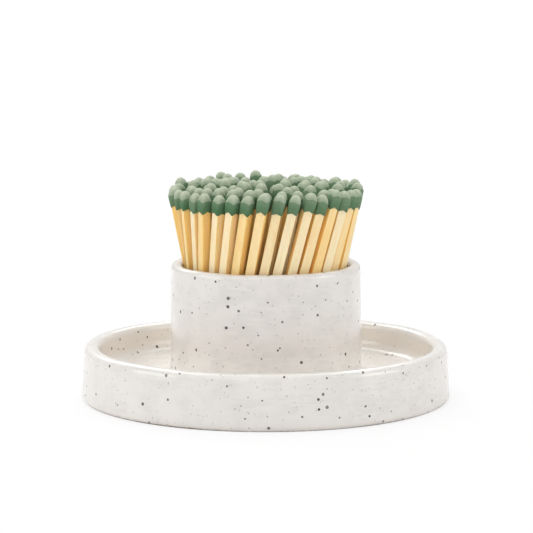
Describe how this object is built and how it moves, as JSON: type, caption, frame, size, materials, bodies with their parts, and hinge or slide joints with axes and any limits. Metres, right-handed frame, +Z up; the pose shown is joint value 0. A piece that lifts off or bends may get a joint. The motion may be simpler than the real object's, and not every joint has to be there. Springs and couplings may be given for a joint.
{
  "type": "match striker",
  "caption": "Round speckled stoneware match striker: an open cup of green-headed wooden matches rising from the middle of a shallow rimmed tray.",
  "frame": {"origin": "centre of the foot, on the surface the tray stands on", "axes": "+Z up along the axis of the cup and tray; X and Y lie in the foot's plane, with the picture taken from the -Y side"},
  "size_m": [0.095, 0.095, 0.0572],
  "materials": {
    "glazed_stoneware": "glossy warm white glaze with dark iron specks",
    "aspen_wood": "bare split wood with straight grain",
    "match_compound": "matt dusty sage green"
  },
  "bodies": {
    "root": {"cup_and_tray": "glazed_stoneware", "match_sticks_1": "aspen_wood", "match_sticks_2": "aspen_wood", "match_sticks_3": "aspen_wood", "match_sticks_4": "aspen_wood", "match_sticks_5": "aspen_wood", "match_sticks_6": "aspen_wood", "match_sticks_7": "aspen_wood", "match_sticks_8": "aspen_wood", "match_sticks_9": "aspen_wood", "match_sticks_10": "aspen_wood", "match_sticks_11": "aspen_wood", "match_sticks_12": "aspen_wood", "match_heads_1": "match_compound", "match_heads_2": "match_compound", "match_heads_3": "match_compound", "match_heads_4": "match_compound", "match_heads_5": "match_compound", "match_heads_6": "match_compound", "match_heads_7": "match_compound", "match_heads_8": "match_compound", "match_heads_9": "match_compound", "match_heads_10": "match_compound", "match_heads_11": "match_compound", "match_heads_12": "match_compound"}
  },
  "joints": []
}
